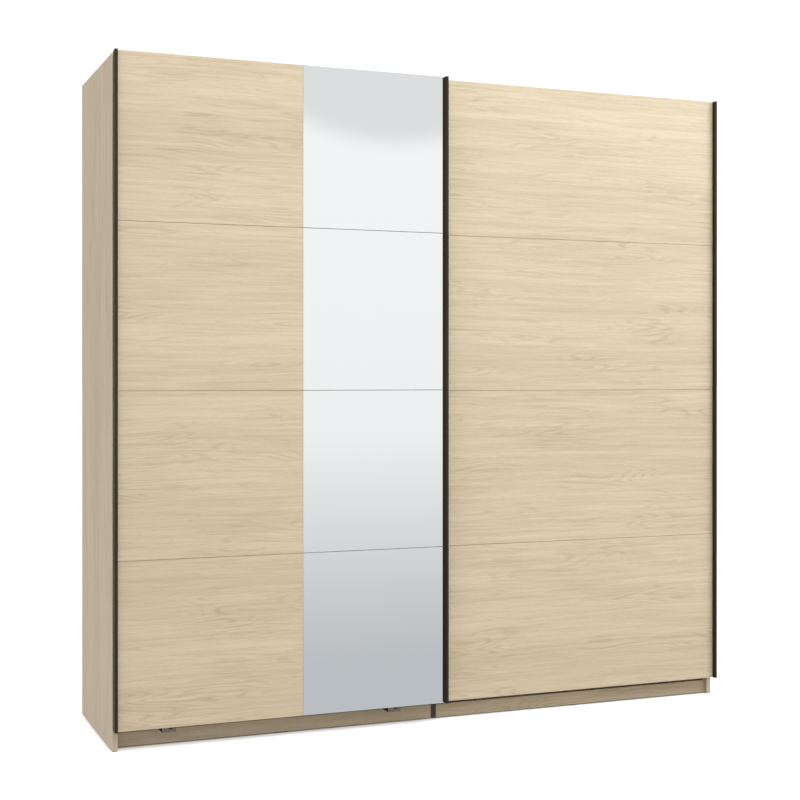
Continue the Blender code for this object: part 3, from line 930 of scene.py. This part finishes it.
class WARDROBE_OT_mirrors(bpy.types.Operator):
    """Adds the mirror panes of the left door"""

    bl_idname = "wardrobe.mirrors"
    bl_label = "Mirrors"
    bl_options = {"REGISTER", "UNDO"}

    def execute(self, _context):
        hand_over_all(self.pane, *(f"door_left_mirror_{row}" for row in ROWS))
        return {"FINISHED"}

    def pane(self, node):
        """Silvered glass with a ground arris round its front and painted at the back."""
        low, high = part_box(node)
        piece = start_box(node + "_pane", low, high, "polished_glass_edge",
                          "silvered_mirror_glass", "mirror_backing_paint")
        round_edges(sizes().arris, 1, rim("Y", low.y))
        for index, side in ((1, "front"), (2, "back")):
            pick("FACE", facing(side))
            paint(index)
        return piece


class WARDROBE_OT_grips(bpy.types.Operator):
    """Adds the anodised strips on the doors' upright edges, with their end caps"""

    bl_idname = "wardrobe.grips"
    bl_label = "Grip Strips"
    bl_options = {"REGISTER", "UNDO"}

    def execute(self, _context):
        for side, nodes in (("left", ("door_left_grip_left", "door_left_grip_right")),
                            ("right", ("door_right_edge_strip", "door_right_grip_right"))):
            for node in nodes:
                self.strip(node, side)
        return {"FINISHED"}

    def strip(self, node, side):
        """A bar in front of the door, a web over its edge and a lip behind it, in one profile."""
        low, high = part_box(node)
        core_low, core_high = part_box(f"door_{side}_core")
        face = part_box(f"door_{side}_panel_1")[0].y - CLEARANCE
        inward = 1 if low.x < core_low.x else -1
        outer = low.x if inward > 0 else high.x
        inner = high.x if inward > 0 else low.x
        web = (core_low.x if inward > 0 else core_high.x) - inward * CLEARANCE
        cap = sizes().grip_cap
        piece = start_box(node + "_extrusion", (low.x, low.y, low.z + cap),
                          (high.x, face, high.z - cap), "dark_bronze_anodised_aluminium",
                          "dark_brown_abs")
        cut("X", web)
        outer_range = sorted((outer, web))
        pick("FACE", facing("back", (outer_range[0], None, None), (outer_range[1], None, None)))
        extrude((0, high.y - face, 0))
        cut("Y", high.y - GRIP_LIP)
        side_name = "right" if inward > 0 else "left"
        pick("FACE", facing(side_name, (None, high.y - GRIP_LIP, None)))
        extrude((inner - web, 0, 0))
        corner = min(sizes().grip_round, (face - low.y) / 3)
        for radius, segments, corners in (
            (corner, 5, ((outer, low.y), (inner, low.y))),
            (EXTRUSION_EDGE, 2, ((outer, high.y), (inner, high.y), (inner, face))),
        ):
            tests = [along("Z", ("X", x), ("Y", y)) for x, y in corners]
            round_edges(radius, segments, any_of(*tests))
        caps = [self.cap(node, low, high, face, corner, end) for end in (low.z, high.z)]
        hand_over(joined(node + "_extrusion", piece, *caps), node)

    def cap(self, node, low, high, face, corner, end):
        """A moulded cap over one open end of the bar."""
        inset = 0.0002
        bottom = min(end, high.z - sizes().grip_cap)
        piece = start_box(node + "_cap", (low.x + inset, low.y + inset, bottom),
                          (high.x - inset, face, bottom + sizes().grip_cap), "dark_brown_abs")
        round_edges(corner, 5, along("Z", ("Y", low.y + inset)))
        round_edges(FINE_EDGE, 2, rim("Z", end))
        return piece


class WARDROBE_OT_carriages(bpy.types.Operator):
    """Adds the folded steel carriages with their axles and screws"""

    bl_idname = "wardrobe.carriages"
    bl_label = "Carriages"
    bl_options = {"REGISTER", "UNDO"}

    def execute(self, _context):
        hand_over_all(self.outer, "carriage_left_1", "carriage_left_2")
        hand_over_all(self.inner, "carriage_right_1", "carriage_right_2")
        return {"FINISHED"}

    def outer(self, node):
        """A plate behind the front door, an arm over the other door and a tab down behind it."""
        low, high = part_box(node)
        wheel_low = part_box("wheel_left_1")[0]
        under = high.z - SHEET_STEEL
        piece = start_box(node + "_steel", low, (high.x, low.y + SHEET_STEEL, high.z),
                          "dark_passivated_steel")
        cut("Z", under)
        pick("FACE", facing("back", (None, None, under)))
        extrude((0, high.y - low.y - SHEET_STEEL, 0))
        cut("Y", high.y - SHEET_STEEL)
        pick("FACE", facing("bottom", (None, high.y - SHEET_STEEL, under - NEAR)))
        extrude((0, 0, wheel_low.z - under))
        self.soften(low, high, wheel_low.z)
        parts = self.axle(node, high.y - SHEET_STEEL, -1)
        parts += self.plate_screws(low, high, low.y + SHEET_STEEL)
        return joined(node + "_steel", piece, *parts)

    def soften(self, low, high, tab_low):
        """Rounds the free corners and the folds of a bent plate."""
        corners = [along("Y", ("Z", low.z)), along("Y", ("Z", tab_low))]
        round_edges(sizes().corner, 5, any_of(*corners))
        folds = [along("X", ("Y", low.y), ("Z", high.z)), along("X", ("Y", high.y), ("Z", high.z))]
        round_edges(sizes().fold, 4, any_of(*folds))

    def inner(self, node):
        """A plate behind the rear door that reaches up past the wheel's middle."""
        low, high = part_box(node)
        piece = start_box(node + "_steel", low, (high.x, low.y + PLATE_STEEL, high.z),
                          "dark_passivated_steel")
        round_edges(sizes().corner, 5, along("Y"))
        round_edges(SOFTENED, 2, rim("Y", low.y + PLATE_STEEL))
        parts = self.axle(node, low.y + PLATE_STEEL, 1)
        parts += self.plate_screws(low, high, low.y + PLATE_STEEL)
        return joined(node + "_steel", piece, *parts)

    def axle(self, node, start, sign):
        """Spacer, axle and domed head, on the wheel's middle line."""
        low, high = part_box("wheel_" + node.split("_", 1)[1])
        middle = (low + high) / 2
        near, far = (low.y, high.y) if sign > 0 else (high.y, low.y)
        near -= sign * CLEARANCE
        far += sign * CLEARANCE
        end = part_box(node)[1].y if sign > 0 else far + sign * AXLE_HEAD
        made = []
        for radius, first, last in ((PIN_RADIUS, start, near), (AXLE_RADIUS, near, far),
                                    (PIN_RADIUS, far, end)):
            centre = (middle.x, (first + last) / 2, middle.z)
            pin = start_round("axle", centre, "Y", radius, abs(last - first), 40,
                              "bright_zinc_plated_steel")
            if radius == PIN_RADIUS:
                round_edges(min(FINE_EDGE, abs(last - first) / 3), 3, rim("Y", last))
            made.append(pin)
        return made

    def plate_screws(self, low, high, back):
        """Four screws through the plate into the door."""
        inset = PLATE_SCREW_INSET
        return screws([(x, back, z) for x in (low.x + inset, high.x - inset)
                       for z in (low.z + inset, low.z + PLATE_SCREW_RISE)], "Y", 1)


class WARDROBE_OT_wheels(bpy.types.Operator):
    """Adds the four grooved nylon wheels with their bearings"""

    bl_idname = "wardrobe.wheels"
    bl_label = "Wheels"
    bl_options = {"REGISTER", "UNDO"}

    def execute(self, _context):
        hand_over_all(self.wheel, "wheel_left_1", "wheel_left_2", "wheel_right_1", "wheel_right_2")
        return {"FINISHED"}

    def wheel(self, node):
        """A disc with a V groove, dished faces with five pockets, and a steel bearing."""
        low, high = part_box(node)
        middle = (low + high) / 2
        radius = (high.z - low.z) / 2
        piece = start_round(node + "_tyre", middle, "Y", radius, high.y - low.y, 60,
                            "white_nylon", "bright_zinc_plated_steel")
        floor = RIB / 2 + CLEARANCE
        for y in (-floor - GROOVE_SLOPE, -floor, floor, floor + GROOVE_SLOPE):
            cut("Y", middle.y + y)
        pick("EDGE", lambda mid, way: abs(mid.y - middle.y) < floor + NEAR)
        share = (radius - WHEEL_FLANGE) / radius
        bpy.ops.transform.resize(value=(share, 1, share), center_override=middle)
        round_edges(WHEEL_EDGE, 3, any_of(rim("Y", low.y), rim("Y", high.y)))
        for side in ("front", "back"):
            sign = SIDES[side][1]
            pick("FACE", facing(side))
            step(WHEEL_RIM, (0, -sign * RIM_DROP, 0))
            step(WHEEL_DISH, (0, sign * BEARING_RISE, 0))
            paint(1)
            bpy.ops.mesh.inset(thickness=BEARING_RING)

        def bore_ends(mid, normal):
            reach = math.hypot(mid.x - middle.x, mid.z - middle.z)
            return abs(normal.y) > SQUARE and reach < NEAR

        pick("FACE", bore_ends)
        made = radius - WHEEL_EDGE - WHEEL_RIM - WHEEL_DISH - BEARING_RING
        share = (AXLE_RADIUS + BORE_PLAY) / made
        bpy.ops.transform.resize(value=(share, 1, share), center_override=middle)
        bpy.ops.mesh.bridge_edge_loops()
        self.pockets(middle)
        return piece

    def pockets(self, middle):
        """Sinks seven of every twelve facets of the dished face, so that the turning shows."""
        least, most = POCKET_BAND

        def in_pocket(mid, normal):
            reach = math.hypot(mid.x - middle.x, mid.z - middle.z)
            turn = math.degrees(math.atan2(mid.z - middle.z, mid.x - middle.x)) % (360 / POCKETS)
            return abs(normal.y) > SQUARE and least < reach < most and turn < POCKET_TURN

        for side in ("front", "back"):
            sign = SIDES[side][1]
            pick("FACE", lambda mid, normal: in_pocket(mid, normal) and normal.y * sign > 0)
            step(POCKET_INSET, (0, -sign * POCKET_DROP, 0))


class WARDROBE_OT_guides(bpy.types.Operator):
    """Adds the folded guides under the doors"""

    bl_idname = "wardrobe.guides"
    bl_label = "Door Guides"
    bl_options = {"REGISTER", "UNDO"}

    def execute(self, _context):
        hand_over_all(self.guide, "guide_left_1", "guide_left_2")
        hand_over_all(self.guide, "guide_right_1", "guide_right_2")
        return {"FINISHED"}

    def guide(self, node):
        """A pierced plate on the door's back, an arm under the carcass and a moulded tongue."""
        side = node.split("_")[1]
        low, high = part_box(node)
        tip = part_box("guide_track")[0].z + TONGUE_ENTRY
        arm_top = low.z + SHEET_STEEL
        tongue_front = high.y - TONGUE
        finish = {"left": "grey_zinc_plated_steel", "right": "bronze_passivated_steel"}[side]
        piece = start_box(node + "_steel", low, (high.x, low.y + SHEET_STEEL, high.z),
                          finish, "dark_brown_abs")
        cut("Z", arm_top)
        pick("FACE", facing("back", None, (None, None, arm_top)))
        extrude((0, high.y - low.y - SHEET_STEEL, 0))
        cut("Y", tongue_front)
        pick("FACE", facing("top", (None, tongue_front, None), (None, None, arm_top + NEAR)))
        extrude((0, 0, tip - arm_top))
        pick("FACE", lambda mid, normal: mid.y > tongue_front and mid.z > arm_top)
        paint(1)
        round_edges(GUIDE_CORNER, 4, along("Y", ("Z", high.z)))
        tips = [along("X", ("Y", y), ("Z", tip)) for y in (high.y, tongue_front)]
        round_edges(FINE_EDGE, 2, any_of(*tips))
        round_edges(sizes().fold, 3, along("X", ("Y", low.y), ("Z", low.z)))
        self.hole(low, high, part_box(f"door_{side}_core")[0].z)
        heads = screws([(x, low.y + SHEET_STEEL, high.z - GUIDE_SCREW_DROP)
                        for x in (low.x + GUIDE_SCREW_INSET, high.x - GUIDE_SCREW_INSET)], "Y", 1)
        return joined(node + "_steel", piece, *heads)

    def hole(self, low, high, door_under):
        """A sunk oblong hole in the strip of plate that shows under the door."""
        middle = (low.x + high.x) / 2 + HOLE_SHIFT
        left, right = middle - HOLE_HALF, middle + HOLE_HALF
        bottom, top = (door_under - below for below in HOLE_BELOW)
        for axis, at in (("X", left), ("X", right), ("Z", bottom), ("Z", top)):
            cut(axis, at)
        pick("FACE", facing("front", (left, None, bottom), (right, None, top)))
        extrude((0, SHEET_STEEL * 0.9, 0))
        paint(1)


class WARDROBE_OT_stage(bpy.types.Operator):
    """Adds the floor, the light, what the mirror sees and the camera"""

    bl_idname = "wardrobe.stage"
    bl_label = "Studio"
    bl_options = {"REGISTER", "UNDO"}

    def execute(self, context):
        context.scene.view_settings.view_transform = "Standard"
        self.sky(context.scene)
        self.floors()
        self.lamp("front_softbox", (3.6, -2.4, 4.2), (0.6, -0.25, 1.9), 2.4, 171.0, "DAECFF")
        self.lamp("top_softbox", (0.2, -2.4, 5.4), (0.0, -1.6, 0.0), 4.0, 190.0, "FFFFFF")
        self.mirror_floor()
        self.mirror_wall()
        self.camera(context.scene)
        return {"FINISHED"}

    def sky(self, scene):
        """An even white surround."""
        world = bpy.data.worlds.new("studio_light")
        scene.world = world
        world.use_nodes = True
        fill(world.node_tree, world.node_tree.nodes["Background"],
             {"Color": linear("FFFFFF"), "Strength": 1.075})

    def floors(self):
        """A white floor to look at, and a grey one just under it whose light reaches the doors."""
        white = self.floor("white_studio_floor", 0, "F8F8F8")
        white.visible_diffuse = False
        white.visible_shadow = False
        grey = self.floor("grey_bounce_floor", -0.002, "9E9583")
        grey.visible_camera = False
        # a glow on the white floor round the wardrobe, and none under it, keeps the shadow faint
        tree = white.data.materials[0].node_tree
        add = partial(add_node, tree)
        place = add("TexCoord", output="Object")
        apart = []
        for axis, half in (("X", CAD_BOUNDS[1][0]), ("Y", -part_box("plinth_left")[0].y)):
            reach = add("Math", {0: add("SeparateXYZ", {"Vector": place}, axis)},
                        operation="ABSOLUTE")
            apart.append(add("Math", {0: reach, 1: half}, operation="SUBTRACT"))
        edge = add("Math", {0: apart[0], 1: apart[1]}, operation="MAXIMUM")
        glow = add("MapRange", {"Value": edge, "From Max": 0.01, "To Max": 0.35})
        fill(tree, tree.nodes["Principled BSDF"],
             {"Emission Color": linear("FFFFFF"), "Emission Strength": glow})

    def floor(self, name, z, hex_colour):
        only()
        bpy.ops.mesh.primitive_circle_add(vertices=96, radius=200, fill_type="NGON",
                                          location=(0, 0, z))
        ground = settle(name, ())
        matt, tree = new_material(name + "_paint")
        fill(tree, tree.nodes["Principled BSDF"],
             {"Base Color": linear(hex_colour), "Roughness": 0.8})
        ground.data.materials.append(matt)
        ground.visible_glossy = False
        return ground

    def lamp(self, name, place, target, size, power, hex_colour):
        light = bpy.data.lights.new(name, "AREA")
        light.color = linear(hex_colour)[:3]
        light.size = size
        light.energy = power
        made = bpy.data.objects.new(name, light)
        made.location = place
        made.rotation_euler = (Vector(target) - Vector(place)).to_track_quat("-Z", "Y").to_euler()
        made.visible_glossy = False
        bpy.context.scene.collection.objects.link(made)

    def card(self, name, low, high, tint):
        """A flat card between two corners that only reflections see. It casts no light and no
        shadow. The last argument makes its colour from its node function and place."""
        only()
        low, high = Vector(low), Vector(high)
        span = high - low
        turn = (0, 0, 0) if span.z < TOUCH else (math.radians(90), 0, 0)
        bpy.ops.mesh.primitive_plane_add(size=1, location=(low + high) / 2, rotation=turn)
        bpy.context.object.scale = (span.x, max(span.y, span.z), 1)
        made = settle(name, ())
        glow, tree = new_material(name + "_glow")
        tree.nodes.remove(tree.nodes["Principled BSDF"])
        add = partial(add_node, tree)
        light = add("Emission", {"Color": tint(add, add("TexCoord", output="Object")),
                    "Strength": 1.0})
        fill(tree, tree.nodes["Material Output"], {"Surface": light})
        made.data.materials.append(glow)
        for kind in ("camera", "diffuse", "transmission", "shadow"):
            setattr(made, "visible_" + kind, False)

    def mirror_floor(self):
        """Cool grey floor near the doors that pales with distance, as the mirror shows it."""
        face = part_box("door_left_mirror_1")[0].y

        def tint(add, place):
            away = add("Math", {0: face, 1: add("SeparateXYZ", {"Vector": place}, "Y")},
                       operation="SUBTRACT")
            decades = add("Math", {0: away, 1: 10.0}, operation="LOGARITHM")
            far = add("MapRange", {"Value": decades, "From Min": -0.1, "From Max": 1.6},
                      interpolation_type="SMOOTHSTEP")
            return add("Mix", {FACTOR: far, FIRST: (0.541, 0.558, 0.581, 1),
                       SECOND: (0.948, 0.944, 0.952, 1)})

        self.card("mirror_floor_card", (-25, -30, 0.001), (40, face, 0.001), tint)

    def mirror_wall(self):
        """Near-white wall with a large round grey reflector high on the right."""
        middle, radius, soft = (11.35, -30.0, 12.57), 5.49, 0.41

        def tint(add, place):
            height = add("MapRange", {"Value": add("SeparateXYZ", {"Vector": place}, "Z"),
                         "From Max": 7.0})
            wall = add("Mix", {FACTOR: height, FIRST: (0.937, 0.934, 0.942, 1),
                       SECOND: (0.990, 0.978, 0.986, 1)})
            reach = add("VectorMath", {0: place, 1: middle}, "Value", operation="DISTANCE")
            outside = add("MapRange", {"Value": reach, "From Min": radius - soft,
                          "From Max": radius + soft}, interpolation_type="SMOOTHSTEP")
            return add("Mix", {FACTOR: outside, FIRST: (0.787, 0.784, 0.802, 1), SECOND: wall})

        self.card("mirror_wall_card", (-25, -30, 0), (40, -30, 30), tint)

    def camera(self, scene):
        lens = bpy.data.cameras.new("camera")
        lens.lens = CAMERA_LENS
        lens.sensor_width = 36
        lens.shift_y = CAMERA_SHIFT
        lens.clip_end = 200
        made = bpy.data.objects.new("camera", lens)
        made.location = CAMERA_PLACE
        made.rotation_euler = (math.radians(90), 0, math.radians(CAMERA_TURN))
        scene.collection.objects.link(made)
        scene.camera = made


class WARDROBE_PT_panel(bpy.types.Panel):
    """Lists the wardrobe's operators, sizes and colours"""

    bl_idname = "WARDROBE_PT_panel"
    bl_label = "Sliding Door Wardrobe"
    bl_space_type = "VIEW_3D"
    bl_region_type = "UI"
    bl_category = "Wardrobe"

    def draw(self, context):
        column = self.layout.column(align=True)
        for operator in OPERATORS:
            column.operator(operator.bl_idname)
        for group in (context.scene.wardrobe_sizes, context.scene.wardrobe_colours):
            box = self.layout.box()
            for name in group.bl_rna.properties.keys():
                if name not in ("rna_type", "name"):
                    box.prop(group, name)


OPERATORS = (
    WARDROBE_OT_side_panels,
    WARDROBE_OT_carcass,
    WARDROBE_OT_back,
    WARDROBE_OT_plinth,
    WARDROBE_OT_clothes_rails,
    WARDROBE_OT_tracks,
    WARDROBE_OT_door_boards,
    WARDROBE_OT_mirrors,
    WARDROBE_OT_grips,
    WARDROBE_OT_carriages,
    WARDROBE_OT_wheels,
    WARDROBE_OT_guides,
    WARDROBE_OT_stage,
)
CLASSES = (WardrobeSizes, WardrobeColours, *OPERATORS, WARDROBE_PT_panel)


def register():
    for kind in CLASSES:
        bpy.utils.register_class(kind)
    bpy.types.Scene.wardrobe_sizes = PointerProperty(type=WardrobeSizes)
    bpy.types.Scene.wardrobe_colours = PointerProperty(type=WardrobeColours)


def unregister():
    del bpy.types.Scene.wardrobe_colours
    del bpy.types.Scene.wardrobe_sizes
    for kind in reversed(CLASSES):
        bpy.utils.unregister_class(kind)


def main():
    register()
    for operator in OPERATORS:
        group, name = operator.bl_idname.split(".")
        getattr(getattr(bpy.ops, group), name)()


if __name__ == "__main__":
    main()
